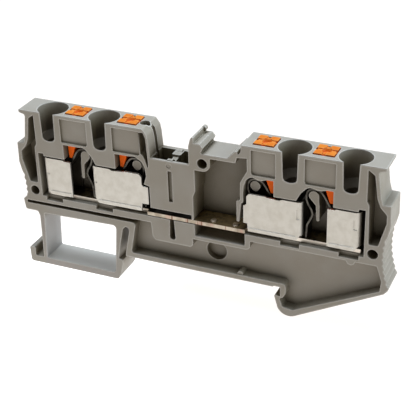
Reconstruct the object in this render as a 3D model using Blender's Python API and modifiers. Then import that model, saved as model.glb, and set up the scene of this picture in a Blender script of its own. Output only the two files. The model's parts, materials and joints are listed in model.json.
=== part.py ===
"""Feed-through terminal block for a 35 mm rail, with four push-in clamps in a row.

One grey moulding, open on its front side, holds a flat current bar. Two clamps sit at each end of the
bar: a folded cage, a hairpin spring round a moulded peg, and an orange release button over the spring.

Sizes are in millimetres and are turned to metres where a mesh is made. X runs along the block, Y through
its width from the open side (-Y) to the closed side (+Y), and Z is the height above the rail's top face.
"""

import math

import bmesh
import bpy
from mathutils import Matrix, Vector

MM = 0.001

# Block
BLOCK_LENGTH = 77.3
BLOCK_HEIGHT = 35.3
PITCH = 6.2
FOOT_DEPTH = 6.05
TOP = BLOCK_HEIGHT - FOOT_DEPTH
SHOULDER_X = BLOCK_LENGTH / 2
FLANGE_X = SHOULDER_X - 1.25
NECK_X = SHOULDER_X - 2.05
SHOULDER_TOP = 21.95
GRIP_TOP = 17.5
GRIP_WAIST = (SHOULDER_X - 0.95, 11.4)
GRIP_CURVE = 0.028
RIDGE_PITCH = 1.29
RIDGE_DEPTH = 0.25
RIGHT_GRIP_END = 4.5
LEFT_GRIP_END = 10.0
UNDERSIDE = 6.6
RIGHT_CORNER_Z = 3.4
BACK_WALL = 1.15
END_WALL = 0.8
SKIN = 0.5
CLEARANCE = 0.15
SEAT_GAP = 0.1

# Rail
RAIL_WIDTH = 35.0
RAIL_LEFT = -17.2
RAIL_LIP = 1.2
HOOK_WALL = 1.15
HOOK_LIP_TOP = -1.95
HOOK_RADIUS = 2.55
SEAT_RELIEF = 0.22
FLOOR_WALL = 1.1

# Foot loop
FOOT_LEFT = -SHOULDER_X
FOOT_RIGHT = -17.75
LEG_LEFT = -35.15
LEG_WALL = 1.1
FOOT_FLOOR = 1.45
FLEX_SLOT = 1.55

# Wire entries, measured from the middle of the block
OUTER_FUNNEL_X = 31.05
INNER_FUNNEL_X = 19.57
FUNNEL_Y = -0.31
FUNNEL_RADIUS = 3.13
FUNNEL_TAPER = 0.15
FUNNEL_DEPTH = 5.7
THROAT_DEPTH = 1.5
FUNNEL_WALL = 0.45
WIRE_RADIUS = 1.9
SLOT_WIDTH = 3.0
SLOT_TAPER = 0.15
SLOT_CORNER = 0.6

# Clamp chamber
RIB_TOP = 10.55
CHAMBER_TOP = 19.75
CHAMBER_END_X = 33.95
WINDOW_TOP = 23.0
WINDOW_EDGE = 3.15
PANEL_BOTTOM = 23.5
PANEL_TOP = 28.55
PANEL_LENGTH = 8.65
PANEL_DEPTH = 0.45
NOTCH_DEPTH = 0.95

# Current bar
BAR_THICKNESS = 0.8
BAR_END_X = 33.2
BAR_FRONT = -2.1
BAR_BACK = 1.5
BAR_WIDE_LEFT = -10.1
BAR_WIDE_RIGHT = 10.6
BAR_WIDE_FRONT = -3.0
BRIDGE_HOLE = (2.4, 1.5)
DIMPLES = (3.7, 8.25)
DIMPLE_Y = -1.75
DIMPLE_RADIUS = 0.9
DIMPLE_HEIGHT = 0.25

# Cages
CAGE_SHEET = 0.45
CAGE_FRONT = -2.95
CAGE_BACK = 1.7
CAGE_TOP = 19.35
CAGE_SKIRT = 11.35
CAGE_REACH = {"outer": 4.25, "inner": 8.6}
CAGE_END = {"outer": 2.05, "inner": 2.35}
CAGE_BEND = {"outer": 0.9, "inner": 0.6}
CAGE_HEM = 0.75
HEM_PROUD = 0.1
LOCK_MARK = (0.9, 2.1)
LOCK_MARK_Z = 16.8
LOCK_MARK_DEPTH = 0.15
CAGE_NOTCH = 7.2
TAB_REACH = {-1: 1.35, 1: 0.65}
TAB_TOP = 16.8
TAB_BOTTOM = 13.0

# Springs and their pegs
PEG_FROM_FUNNEL = 7.25
PEG_Z = 20.65
PEG_RADIUS = 1.0
PEG_FRONT = -1.75
PEG_TIP_Z = 15.55
SPRING_SHEET = 0.35
SPRING_FRONT = -1.85
SPRING_BACK = 1.05
SPRING_LOOP = 1.4

# Buttons
BUTTON_FROM_FUNNEL = 3.65
BUTTON_LENGTH = 3.9
BUTTON_FRONT = -1.9
BUTTON_BACK = 1.95
BUTTON_PROUD = 0.25
BUTTON_STEP_Z = 23.3
BUTTON_TIP_Z = 19.65
BUTTON_TRAVEL = 1.5
RECESS_WIDTH = 0.8
RECESS_DEPTH = 0.18
RIM_NOTCH_RADIUS = 0.35
RIM_NOTCH_DEPTH = 0.4
DISH_DEPTH = 0.7
DISH_RADII = (0.7, 1.15)

# Middle of the block
CENTRE_LEFT = -9.2
CENTRE_RIGHT = 0.55
CENTRE_FOOT = 0.42
SHAFT_TOP = 23.35
SHAFT_FLOOR = 12.5
SHAFT_LEFT = -8.6
SHAFT_RIGHT = -0.6
DIVIDER_X = -4.7
DIVIDER = 1.1
MIDDLE_RIGHT = 9.8
FINGER_LEFT = 9.0
FINGER_BOTTOM = 13.15
SHELF_TOP = 26.1
SHELF_BOTTOM = 25.35
CELL_FLOOR = 8.0
CELL_WALL = 0.8
CELL_RIGHT = 10.6

# Lower pockets, pins and small marks
POCKET_FRONT = 2.2
POCKET_BACK = 2.2
END_CAVITY_DEPTH = 3.7
PIN_X = SHOULDER_X - 3.05
PIN_Z = 11.5
BOSS = (2.17, 24.05)
BOSS_RADIUS = 1.6
PIN_HOLE_RADIUS = 1.02
PIN_HOLE_DEPTH = 3.2
PIN_CLEARANCE = 0.12
PIN_LENGTH = 0.9
PIN_TAPER = 0.15
TEST_HOLE = (-10.8, -0.2)
TEST_RADIUS = 1.0
TEST_SLOT_DEPTH = 4.0
SIDE_SLOT = (-0.1, 0.8)
KEYHOLE_RADIUS = 0.62
KEYHOLE_DEPTH = 3.0
EJECTOR_RADIUS = 0.5
EJECTOR_DEPTH = 0.1
FACE_SLOT = 0.84
FACE_SLOT_DEPTH = 0.55
HALF_DISC_RADIUS = 0.87
NUB_RADIUS = 0.6
BEAD_RADIUS = 0.5
RECESS_DISC = (3.8, 4.3)
RECESS_DISC_RADIUS = 2.1
RECESS_DISC_DEPTH = 1.3

FRONT = -PITCH / 2
BACK = PITCH / 2
FLOOR = BACK - BACK_WALL
BAR_BOTTOM = RIB_TOP + SEAT_GAP
BAR_TOP = BAR_BOTTOM + BAR_THICKNESS
OVER = 1.0
ARC_STEP = 0.3

PARTS = None
CUTTERS = None


def clear_scene():
    for obj in list(bpy.data.objects):
        bpy.data.objects.remove(obj, do_unlink=True)


def new_collection(name):
    collection = bpy.data.collections.new(name)
    bpy.context.scene.collection.children.link(collection)
    return collection


def material(name, colour, roughness, metallic=0.0):
    made = bpy.data.materials.new(name)
    made.use_nodes = True
    shader = made.node_tree.nodes["Principled BSDF"]
    shader.inputs["Base Color"].default_value = (*colour, 1.0)
    shader.inputs["Roughness"].default_value = roughness
    shader.inputs["Metallic"].default_value = metallic
    return made


def fillet(corners):
    """Outline points from corners (a, b) or (a, b, radius): a radius turns its corner into an arc."""
    points = []
    count = len(corners)
    for index, corner in enumerate(corners):
        here = Vector(corner[:2])
        radius = corner[2] if len(corner) > 2 else 0.0
        before = Vector(corners[index - 1][:2]) - here
        after = Vector(corners[(index + 1) % count][:2]) - here
        turn = before.angle(after)
        if radius <= 0.0 or turn > math.pi - 0.05:
            points.append(here)
            continue
        reach = radius / math.tan(turn / 2)
        reach = min(reach, 0.48 * before.length, 0.48 * after.length)
        start = here + before.normalized() * reach
        end = here + after.normalized() * reach
        centre = here + (before.normalized() + after.normalized()).normalized() * (
            reach / math.cos(turn / 2)
        )
        steps = max(2, math.ceil((math.pi - turn) / ARC_STEP))
        first = start - centre
        last = end - centre
        sweep = first.angle_signed(last)
        for step in range(steps + 1):
            angle = -sweep * step / steps
            points.append(centre + Matrix.Rotation(angle, 2) @ first)
    return [(point.x, point.y) for point in points]


def mirrored(points, side):
    return [(side * point[0], *point[1:]) for point in points]


def arc(centre, radius, start, end, steps=10):
    """Points on an arc from one angle to another, in degrees."""
    angles = [math.radians(start + (end - start) * step / steps) for step in range(steps + 1)]
    return [
        (centre[0] + radius * math.cos(angle), centre[1] + radius * math.sin(angle))
        for angle in angles
    ]


def to_mesh(obj, collection):
    """A mesh object in place of the curve object, with its caps welded to its sides."""
    bpy.context.view_layer.update()
    graph = bpy.context.evaluated_depsgraph_get()
    mesh = bpy.data.meshes.new_from_object(obj.evaluated_get(graph))
    shape = bmesh.new()
    shape.from_mesh(mesh)
    bmesh.ops.remove_doubles(shape, verts=shape.verts, dist=1e-6)
    bmesh.ops.recalc_face_normals(shape, faces=shape.faces)
    shape.to_mesh(mesh)
    shape.free()
    name = obj.name
    made = bpy.data.objects.new(name + "_mesh", mesh)
    made.matrix_world = obj.matrix_world.copy()
    bpy.data.objects.remove(obj, do_unlink=True)
    made.name = name
    collection.objects.link(made)
    return made


def prism(name, outlines, low, high, collection, along="Y"):
    """A flat outline, or an outline with holes, extruded between two places along one axis."""
    curve = bpy.data.curves.new(name, "CURVE")
    curve.dimensions = "2D"
    curve.fill_mode = "BOTH"
    curve.extrude = (high - low) / 2 * MM
    for outline in outlines:
        spline = curve.splines.new("POLY")
        spline.points.add(len(outline) - 1)
        for point, place in zip(spline.points, outline):
            point.co = (place[0] * MM, place[1] * MM, 0.0, 1.0)
        spline.use_cyclic_u = True
        spline.use_smooth = False
    obj = bpy.data.objects.new(name, curve)
    middle = (low + high) / 2 * MM
    frames = {
        "X": Matrix(((0, 0, 1, middle), (1, 0, 0, 0), (0, 1, 0, 0), (0, 0, 0, 1))),
        "Y": Matrix(((1, 0, 0, 0), (0, 0, -1, middle), (0, 1, 0, 0), (0, 0, 0, 1))),
        "Z": Matrix(((1, 0, 0, 0), (0, 1, 0, 0), (0, 0, 1, middle), (0, 0, 0, 1))),
    }
    obj.matrix_world = frames[along]
    collection.objects.link(obj)
    return to_mesh(obj, collection)


def cone(name, place, radius_low, radius_high, low, high, collection, along="Z", sides=32):
    """A cone or cylinder about an axis through place, which gives the two other coordinates."""
    shape = bmesh.new()
    bmesh.ops.create_cone(
        shape,
        cap_ends=True,
        segments=sides,
        radius1=radius_low * MM,
        radius2=radius_high * MM,
        depth=(high - low) * MM,
    )
    for face in shape.faces:
        face.smooth = len(face.verts) == 4
    mesh = bpy.data.meshes.new(name)
    shape.to_mesh(mesh)
    shape.free()
    obj = bpy.data.objects.new(name, mesh)
    middle = (low + high) / 2
    if along == "Z":
        obj.location = Vector((place[0], place[1], middle)) * MM
    else:
        obj.rotation_euler = (-math.pi / 2, 0.0, 0.0)
        obj.location = Vector((place[0], middle, place[1])) * MM
    collection.objects.link(obj)
    return obj


def turned(name, axis, profile, collection, sides=32):
    """A solid turned about an upright axis, from (radius, height) points that run top to bottom."""
    shape = bmesh.new()
    places = [shape.verts.new((radius * MM, 0.0, height * MM)) for radius, height in profile]
    for upper, lower in zip(places, places[1:]):
        shape.edges.new((upper, lower))
    mesh = bpy.data.meshes.new(name)
    shape.to_mesh(mesh)
    shape.free()
    obj = bpy.data.objects.new(name, mesh)
    obj.location = Vector((axis[0], axis[1], 0.0)) * MM
    collection.objects.link(obj)
    screw = obj.modifiers.new("turn", "SCREW")
    screw.steps = screw.render_steps = sides
    screw.use_merge_vertices = True
    screw.merge_threshold = 1e-5
    return obj


def cut(*cutters):
    return [("DIFFERENCE", cutter) for cutter in cutters]


def join(*others):
    return [("UNION", other) for other in others]


def combine(target, steps):
    """Adds one Boolean for each step, after every cutter is made, so that they're worked out once."""
    for operation, other in steps:
        modifier = target.modifiers.new(other.name, "BOOLEAN")
        modifier.operation = operation
        modifier.object = other
        modifier.solver = "EXACT"
        other.hide_render = True
        other.display_type = "WIRE"


def finish(obj, look, smooth=False):
    """Gives an object its material. A bent strip is shaded smooth except at its cut edges."""
    obj.data.materials.clear()
    obj.data.materials.append(look)
    if smooth:
        obj.data.shade_smooth()
        obj.data.set_sharp_from_angle(angle=math.radians(50))


def grip(low_z):
    """The hollowed finger grip of an end wall, with ridges across it, from its top down to a height."""
    waist_x, waist_z = GRIP_WAIST
    tip_z = waist_z + 2 * RIDGE_PITCH
    points = [(SHOULDER_X - 0.5, tip_z + 1.4)]
    while tip_z > low_z:
        for drop, depth in ((-0.5, 1.0), (0.0, 0.0), (0.2, 0.0)):
            z = tip_z - drop * RIDGE_PITCH
            hollow = GRIP_CURVE * (z - waist_z) ** 2
            points.append((waist_x + hollow - depth * RIDGE_DEPTH, z))
        tip_z -= RIDGE_PITCH
    return points


def end_profile():
    """The outer end of the block from its top flange down to the grip, at +X."""
    return [
        (FLANGE_X, TOP, 0.1),
        (FLANGE_X - 0.05, TOP - 0.6, 0.2),
        (NECK_X - 0.6, TOP - 0.95, 0.5),
        (NECK_X, SHOULDER_TOP + 1.5),
        (NECK_X + 0.4, SHOULDER_TOP, 0.2),
        (SHOULDER_X - 0.1, SHOULDER_TOP, 0.25),
        (SHOULDER_X, GRIP_TOP, 0.3),
    ]


def housing_outline():
    """The whole block seen from its open side, clockwise from the top of the right flange."""
    hook_x = RAIL_LEFT + RAIL_WIDTH
    lip_x = hook_x - RAIL_LIP
    right = end_profile() + grip(RIGHT_GRIP_END)
    right += [
        (SHOULDER_X + 0.1, RIGHT_CORNER_Z + 0.8, 0.3),
        (SHOULDER_X - 0.55, RIGHT_CORNER_Z, 0.5),
        *arc((hook_x + 1.8, HOOK_RADIUS - FOOT_DEPTH), HOOK_RADIUS, -62, -155, 9),
        (lip_x, HOOK_LIP_TOP - 0.1, 0.2),
        (lip_x + 0.1, HOOK_LIP_TOP + 0.2, 0.15),
        (hook_x, HOOK_LIP_TOP, 0.15),
        (hook_x, SEAT_RELIEF, 0.1),
        (lip_x - 0.1, SEAT_RELIEF, 0.1),
        (lip_x - 0.3, 0.0),
    ]
    slot_x = RAIL_LEFT + 1.7
    left_foot = [
        (slot_x, 0.0),
        (slot_x, 0.5, 0.3),
        (slot_x + 1.2, UNDERSIDE - 0.1, 0.7),
        (slot_x + 0.5, UNDERSIDE + 0.5, 0.6),
        (slot_x + 1.2 - FLEX_SLOT, UNDERSIDE - 0.4, 0.7),
        (RAIL_LEFT, -0.2, 0.2),
        (RAIL_LEFT - 0.05, -1.0, 0.15),
        (RAIL_LEFT + 0.85, -1.25, 0.2),
        (RAIL_LEFT + 0.85, -2.1, 0.2),
        (FOOT_RIGHT + 0.8, -FOOT_DEPTH + 1.2, 0.5),
        (FOOT_RIGHT, -FOOT_DEPTH, 0.6),
        (FOOT_LEFT + 0.1, -FOOT_DEPTH, 0.6),
        (FOOT_LEFT, -FOOT_DEPTH + 3.5, 0.35),
        (FOOT_LEFT + 1.35, -FOOT_DEPTH + 3.55, 0.35),
        (FOOT_LEFT + 1.25, -FOOT_DEPTH + FOOT_FLOOR, 0.35),
        (LEG_LEFT - 0.2, -FOOT_DEPTH + FOOT_FLOOR, 0.35),
        (LEG_LEFT, UNDERSIDE - 1.0),
        (LEG_LEFT - 0.4, UNDERSIDE, 0.5),
        (-SHOULDER_X + 0.3, UNDERSIDE, 0.5),
    ]
    left_end = end_profile() + grip(LEFT_GRIP_END) + [(SHOULDER_X, LEFT_GRIP_END - 1.0, 0.4)]
    left = mirrored(reversed(left_end), -1)
    middle = [
        (CENTRE_LEFT - 0.9, TOP, 0.5),
        (CENTRE_LEFT - 0.05, TOP - 1.2, 0.6),
        (CENTRE_LEFT + 0.2, TOP - 2.6),
        (CENTRE_LEFT + 0.45, SHAFT_TOP),
        (SHAFT_RIGHT, SHAFT_TOP),
        (SHAFT_RIGHT + 0.05, TOP - 2.0, 0.6),
        (SHAFT_RIGHT + 0.5, TOP - 0.35, 0.4),
        (SHAFT_RIGHT + 0.85, TOP, 0.15),
        (SHAFT_RIGHT + 1.1, TOP - 0.15, 0.1),
        (SHAFT_RIGHT + 1.1, TOP - 1.3, 0.15),
        (SHAFT_RIGHT + 2.35, TOP - 1.2, 0.1),
        (SHAFT_RIGHT + 3.0, TOP - 2.0, 0.1),
        (SHAFT_RIGHT + 2.55, TOP - 2.9),
        (SHAFT_RIGHT + 2.7, SHELF_TOP),
        (MIDDLE_RIGHT - 2.5, SHELF_TOP),
        (MIDDLE_RIGHT - 1.0, TOP - 1.5, 0.1),
        (MIDDLE_RIGHT - 0.5, TOP - 1.5, 0.1),
        (MIDDLE_RIGHT - 0.35, TOP - 2.1),
        (MIDDLE_RIGHT + 0.2, TOP - 1.4),
        (MIDDLE_RIGHT + 0.3, TOP, 0.1),
    ]
    return fillet(right + left_foot + left + middle)


def foot_window():
    inner_right = RAIL_LEFT - 0.95
    return fillet(
        [
            (LEG_LEFT + LEG_WALL, UNDERSIDE - 0.25, 0.35),
            (inner_right + 0.9, UNDERSIDE + 0.15, 0.8),
            (inner_right, -FOOT_DEPTH + FOOT_FLOOR + 0.8),
            (inner_right - 0.2, -FOOT_DEPTH + FOOT_FLOOR, 0.6),
            (LEG_LEFT + 0.6, -FOOT_DEPTH + FOOT_FLOOR, 0.4),
        ]
    )


def chamber_outline(side):
    """The hollow that holds two clamps, with its windows up beside each wire entry."""
    left = side < 0
    rise = 0.0 if left else 0.35
    corners = [
        (CHAMBER_END_X, RIB_TOP),
        (CHAMBER_END_X, CHAMBER_TOP + 0.55),
        (CHAMBER_END_X - 1.2, CHAMBER_TOP + 0.55),
        (CHAMBER_END_X - 1.3, CHAMBER_TOP),
    ]
    for funnel in (OUTER_FUNNEL_X, INNER_FUNNEL_X):
        edge = funnel - WINDOW_EDGE
        peg = funnel - PEG_FROM_FUNNEL
        corners += [
            (edge, CHAMBER_TOP),
            (edge, WINDOW_TOP),
            (edge - 1.2, WINDOW_TOP),
            (peg + 1.8, WINDOW_TOP - rise),
            (peg + 1.1, WINDOW_TOP - rise),
        ]
        if funnel == OUTER_FUNNEL_X:
            corners += [
                (peg - 0.6, WINDOW_TOP + 0.1, 1.3),
                (peg - 2.15, WINDOW_TOP - 1.6, 1.6),
                (peg - 3.0, CHAMBER_TOP),
            ]
    inner = INNER_FUNNEL_X - PEG_FROM_FUNNEL
    shift = 0.55 if left else 0.0
    corners += [
        (inner - 0.3, WINDOW_TOP + 0.15, 1.0),
        (inner - 1.35 - shift, WINDOW_TOP - 0.8, 1.2),
        (inner - 1.8 - shift, WINDOW_TOP - 2.1, 1.2),
        (inner - 2.0 - shift, CHAMBER_TOP - 0.4, 0.5),
        (inner - 1.95, CHAMBER_TOP - 2.3),
    ]
    if left:
        corners += [(-CENTRE_LEFT, CHAMBER_TOP - 2.6), (-CENTRE_LEFT, RIB_TOP)]
    else:
        corners += [
            (MIDDLE_RIGHT + 0.15, CHAMBER_TOP - 2.6),
            (MIDDLE_RIGHT - 0.35, FINGER_BOTTOM - 0.4),
            (MIDDLE_RIGHT - 0.35, RIB_TOP),
        ]
    return mirrored(fillet(corners), side)


def middle_outline():
    """The deep hollow right of the shafts, which takes a test plug, with the bar across its bottom."""
    return fillet(
        [
            (CENTRE_LEFT - 0.4, BAR_BOTTOM - SEAT_GAP),
            (CENTRE_LEFT - 0.4, SHAFT_FLOOR),
            (CENTRE_RIGHT - 0.55 - CENTRE_FOOT, SHAFT_FLOOR),
            (CENTRE_RIGHT - 0.55 - CENTRE_FOOT, BAR_TOP + SEAT_GAP),
            (CENTRE_RIGHT - 0.55, BAR_TOP + SEAT_GAP),
            (CENTRE_RIGHT - 0.5, SHAFT_FLOOR + 4.1),
            (CENTRE_RIGHT, SHAFT_FLOOR + 5.4),
            (CENTRE_RIGHT, BOSS[1] - BOSS_RADIUS, 0.1),
            *arc(BOSS, BOSS_RADIUS, -90, 10, 8),
            (BOSS[0] + BOSS_RADIUS, SHELF_BOTTOM, 0.2),
            (MIDDLE_RIGHT - 0.85, SHELF_BOTTOM + 0.05),
            (MIDDLE_RIGHT - 0.6, SHELF_TOP + 0.4, 0.2),
            (MIDDLE_RIGHT + 1.4, SHELF_TOP + 0.65, 0.2),
            (MIDDLE_RIGHT + 1.4, SHELF_TOP - 2.0, 0.4),
            (MIDDLE_RIGHT, SHELF_TOP - 4.6, 0.4),
            (MIDDLE_RIGHT - 0.05, CHAMBER_TOP - 1.9),
            (FINGER_LEFT, CHAMBER_TOP - 2.3),
            (FINGER_LEFT, FINGER_BOTTOM),
            (MIDDLE_RIGHT + 0.3, FINGER_BOTTOM),
            (CELL_RIGHT, RIB_TOP + 0.5),
            (CELL_RIGHT, CELL_FLOOR, 0.2),
            (CENTRE_RIGHT - 0.4, CELL_FLOOR, 0.2),
            (CENTRE_RIGHT - 0.4, BAR_BOTTOM - SEAT_GAP),
        ]
    )


def lower_pocket_outline():
    """The shallow pocket under the bar, round the middle tab and down into the rail hook."""
    hook_x = RAIL_LEFT + RAIL_WIDTH
    wall_right = SHOULDER_X - 1.15
    rib_bottom = RIB_TOP - 1.4
    slope_z = RIGHT_CORNER_Z + 0.4
    return fillet(
        [
            (RAIL_LEFT + 4.35, rib_bottom),
            (CENTRE_LEFT - 0.15, rib_bottom),
            (CENTRE_LEFT + 0.1, UNDERSIDE - 0.4),
            (CENTRE_LEFT + 0.6, UNDERSIDE - 1.3, 0.9),
            (CENTRE_RIGHT - 0.9, UNDERSIDE - 1.3, 0.8),
            (CENTRE_RIGHT - 0.85, CELL_FLOOR - CELL_WALL, 0.1),
            (CELL_RIGHT + 1.05, CELL_FLOOR - CELL_WALL, 0.9),
            (CELL_RIGHT + 1.05, rib_bottom, 0.2),
            (wall_right - 1.0, rib_bottom, 0.2),
            (wall_right, RIGHT_CORNER_Z + 2.6),
            (wall_right - 0.25, slope_z, 0.3),
            (hook_x + 2.5, -FOOT_DEPTH + HOOK_WALL + 0.35, 0.9),
            (hook_x + 1.5, -FOOT_DEPTH + HOOK_WALL + 0.5, 0.3),
            (hook_x + 0.45, -FOOT_DEPTH + HOOK_WALL + 0.7, 0.4),
            (hook_x - 0.15, HOOK_LIP_TOP - 0.45, 0.2),
            (hook_x + HOOK_WALL * 0.5, HOOK_LIP_TOP - 0.1, 0.2),
            (hook_x + HOOK_WALL, HOOK_LIP_TOP + 0.9, 0.4),
            (hook_x + HOOK_WALL, FLOOR_WALL, 0.8),
            (RAIL_LEFT + 3.0, FLOOR_WALL, 0.5),
            (RAIL_LEFT + 4.35, UNDERSIDE + 1.3),
        ]
    )


def long_groove_outline():
    """The groove between the left foot's beam and the rib, closed at the end wall and open to the pocket."""
    beam_top = UNDERSIDE + 1.65
    corner_x = RAIL_LEFT + 4.35
    return fillet(
        [
            (-SHOULDER_X + END_WALL, beam_top, 0.3),
            (corner_x - 0.1, beam_top, 0.9),
            (corner_x, beam_top - 1.5),
            (corner_x + 0.6, beam_top - 1.5),
            (corner_x + 0.6, RIB_TOP - 1.45),
            (-SHOULDER_X + END_WALL, RIB_TOP - 1.65, 0.3),
        ]
    )


def closed_pocket_outline():
    """The matching pocket in the closed side, which leaves an even web in the lower half."""
    hook_x = RAIL_LEFT + RAIL_WIDTH
    return fillet(
        [
            (RAIL_LEFT + 4.35, CELL_FLOOR - CELL_WALL, 0.6),
            (SHOULDER_X - 1.6, CELL_FLOOR - CELL_WALL, 0.6),
            (SHOULDER_X - 1.4, RIGHT_CORNER_Z + 0.4, 0.4),
            (hook_x + 2.6, -FOOT_DEPTH + HOOK_WALL + 0.5, 0.9),
            (hook_x + HOOK_WALL, -FOOT_DEPTH + HOOK_WALL + 1.6, 0.6),
            (hook_x + HOOK_WALL, FLOOR_WALL, 0.8),
            (RAIL_LEFT + 3.0, FLOOR_WALL, 0.5),
        ]
    )


def end_cavity_outline(side):
    wall_x = SHOULDER_X - END_WALL
    corners = [
        (CHAMBER_END_X + 0.15, TOP - 0.75, 0.1),
        (NECK_X - 1.25, TOP - 1.7, 0.4),
        (NECK_X - 0.6, SHOULDER_TOP + 1.0),
        (NECK_X + 0.05, SHOULDER_TOP - 0.6, 0.3),
        (wall_x, SHOULDER_TOP - 1.95, 0.3),
        (wall_x, GRIP_TOP + 0.8, 0.5),
        (wall_x - 1.35, PIN_Z + 1.9, 0.3),
        (CHAMBER_END_X + 0.75, PIN_Z + 1.85, 0.4),
        (CHAMBER_END_X + 0.6, SHOULDER_TOP - 0.5),
        (CHAMBER_END_X + 0.15, SHOULDER_TOP + 0.2),
    ]
    return mirrored(fillet(corners), side)


def test_slot_outline():
    """The open front of the test shaft, between the left inner window's arch and the end wall."""
    return fillet(
        [
            (TEST_HOLE[0] - 0.1, TOP - 0.85, 0.1),
            (CENTRE_LEFT - 0.75, TOP - 0.7, 0.2),
            (CENTRE_LEFT - 0.3, TOP - 1.9),
            (CENTRE_LEFT - 0.2, TOP - 3.4),
            (CENTRE_LEFT + 0.0, TOP - 6.9),
            (CENTRE_LEFT - 0.05, WINDOW_TOP - 2.3, 0.1),
            (CENTRE_LEFT - 0.6, WINDOW_TOP - 0.35),
            (CENTRE_LEFT - 1.0, WINDOW_TOP + 0.55),
            (CENTRE_LEFT - 1.55, WINDOW_TOP + 1.0),
        ]
    )


def slot_outline(funnel, side):
    """The slot that opens a wire entry to the open side."""
    half = SLOT_WIDTH / 2
    bottom = TOP - FUNNEL_DEPTH
    corners = [
        (funnel - half, TOP + OVER),
        (funnel - half, TOP),
        (funnel - half + SLOT_TAPER, bottom, SLOT_CORNER),
        (funnel + half - SLOT_TAPER, bottom, SLOT_CORNER),
        (funnel + half, TOP),
        (funnel + half, TOP + OVER),
    ]
    return mirrored(fillet(corners), side)


def box_outline(low, high, radius=0.0):
    return fillet(
        [
            (low[0], low[1], radius),
            (high[0], low[1], radius),
            (high[0], high[1], radius),
            (low[0], high[1], radius),
        ]
    )


def wire_entry(funnel, side, label):
    """A funnel that narrows to the wire hole over the chamber, and the slot that opens it to the front."""
    bottom = TOP - FUNNEL_DEPTH
    flare = FUNNEL_TAPER * OVER / FUNNEL_DEPTH
    throat = bottom - THROAT_DEPTH
    profile = [
        (0.0, TOP + OVER),
        (FUNNEL_RADIUS + flare, TOP + OVER),
        (FUNNEL_RADIUS - FUNNEL_TAPER, bottom),
        (WIRE_RADIUS, throat),
        (WIRE_RADIUS, CHAMBER_TOP - 0.5),
        (0.0, CHAMBER_TOP - 0.5),
    ]
    entry = turned(f"{label}_funnel", (side * funnel, FUNNEL_Y), profile, CUTTERS)
    slot_back = FUNNEL_Y - FUNNEL_RADIUS * 0.6
    slot = prism(f"{label}_slot", [slot_outline(funnel, side)], FRONT - OVER, slot_back, CUTTERS)
    return cut(entry, slot)


def button_shaft(funnel, side, label):
    high_x = funnel - BUTTON_FROM_FUNNEL + CLEARANCE
    low_x = high_x - BUTTON_LENGTH - 2 * CLEARANCE
    bottom = BUTTON_STEP_Z - BUTTON_TRAVEL - 2 * CLEARANCE
    outline = mirrored(box_outline((low_x, bottom), (high_x, TOP + OVER)), side)
    front = BUTTON_FRONT - CLEARANCE
    back = BUTTON_BACK + CLEARANCE
    return cut(prism(f"{label}_shaft", [outline], front, back, CUTTERS))


def panel(funnel, side, label):
    """The shallow field sunk into the skin in front of each button."""
    high_x = funnel - WINDOW_EDGE + 0.3
    low_x = funnel - PANEL_LENGTH
    if funnel == INNER_FUNNEL_X:
        low_x = -TEST_HOLE[0] + 0.1 if side < 0 else MIDDLE_RIGHT + 2.2
    outline = fillet(
        [
            (low_x, PANEL_BOTTOM, 0.5),
            (high_x, PANEL_BOTTOM, 0.1),
            (high_x, PANEL_TOP, 0.1),
            (low_x, PANEL_TOP, 0.1),
        ]
    )
    back = FRONT + PANEL_DEPTH
    return cut(prism(f"{label}_panel", [mirrored(outline, side)], FRONT - OVER, back, CUTTERS))


def rib_notch(funnel, side, label):
    """The notch in the front of the rib under each cage, which takes the cage's lower edge."""
    outline = box_outline((funnel - 1.85, RIB_TOP - 0.85), (funnel + 1.95, RIB_TOP + 0.3))
    back = FRONT + NOTCH_DEPTH
    return cut(prism(f"{label}_notch", [mirrored(outline, side)], FRONT - OVER, back, CUTTERS))


def peg(funnel, side, label):
    """The moulded peg that a spring bends round. An outer one has a finger down behind the spring."""
    x = funnel - PEG_FROM_FUNNEL
    if funnel == INNER_FUNNEL_X:
        outline = arc((x, PEG_Z), PEG_RADIUS, 200, -20, 14)
        outline += arc((x, PEG_Z - 0.45), PEG_RADIUS * 0.7, -30, -150, 8)
    else:
        outline = arc((x, PEG_Z), PEG_RADIUS, 200, 0)
        outline += fillet(
            [
                (x + 1.0, PEG_Z - 0.9),
                (x + 1.1, PEG_Z - 1.8),
                (x + 1.15, PEG_TIP_Z, 0.28),
                (x + 0.55, PEG_TIP_Z, 0.28),
                (x + 0.4, PEG_Z - 1.9, 0.4),
                (x - 0.45, PEG_Z - 1.0),
            ]
        )
    return join(prism(f"{label}_peg", [mirrored(outline, side)], PEG_FRONT, FLOOR + 0.4, CUTTERS))


def divider():
    """The wall between the two bridge shafts, with its dipped top edge."""
    top = SHAFT_TOP + 0.15
    front = FRONT + SKIN
    outline = fillet(
        [
            (front - 0.2, SHAFT_FLOOR + 0.2),
            (front - 0.2, top),
            (front + 0.5, top, 0.3),
            (front + 1.4, top - 0.9, 0.5),
            (FLOOR - 0.9, top - 0.5, 0.5),
            (FLOOR - 0.3, top, 0.2),
            (FLOOR + 0.4, top),
            (FLOOR + 0.4, SHAFT_FLOOR + 0.2),
        ]
    )
    low = DIVIDER_X - DIVIDER / 2
    post = box_outline((low - 0.35, 0.2), (low + DIVIDER + 0.35, FLOOR + 0.4), 0.25)
    post_top = SHAFT_TOP - 0.05
    return join(
        prism("shaft_divider", [outline], low, low + DIVIDER, CUTTERS, along="X"),
        prism("divider_post", [post], SHAFT_FLOOR + 0.3, post_top, CUTTERS, along="Z"),
    )


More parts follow.
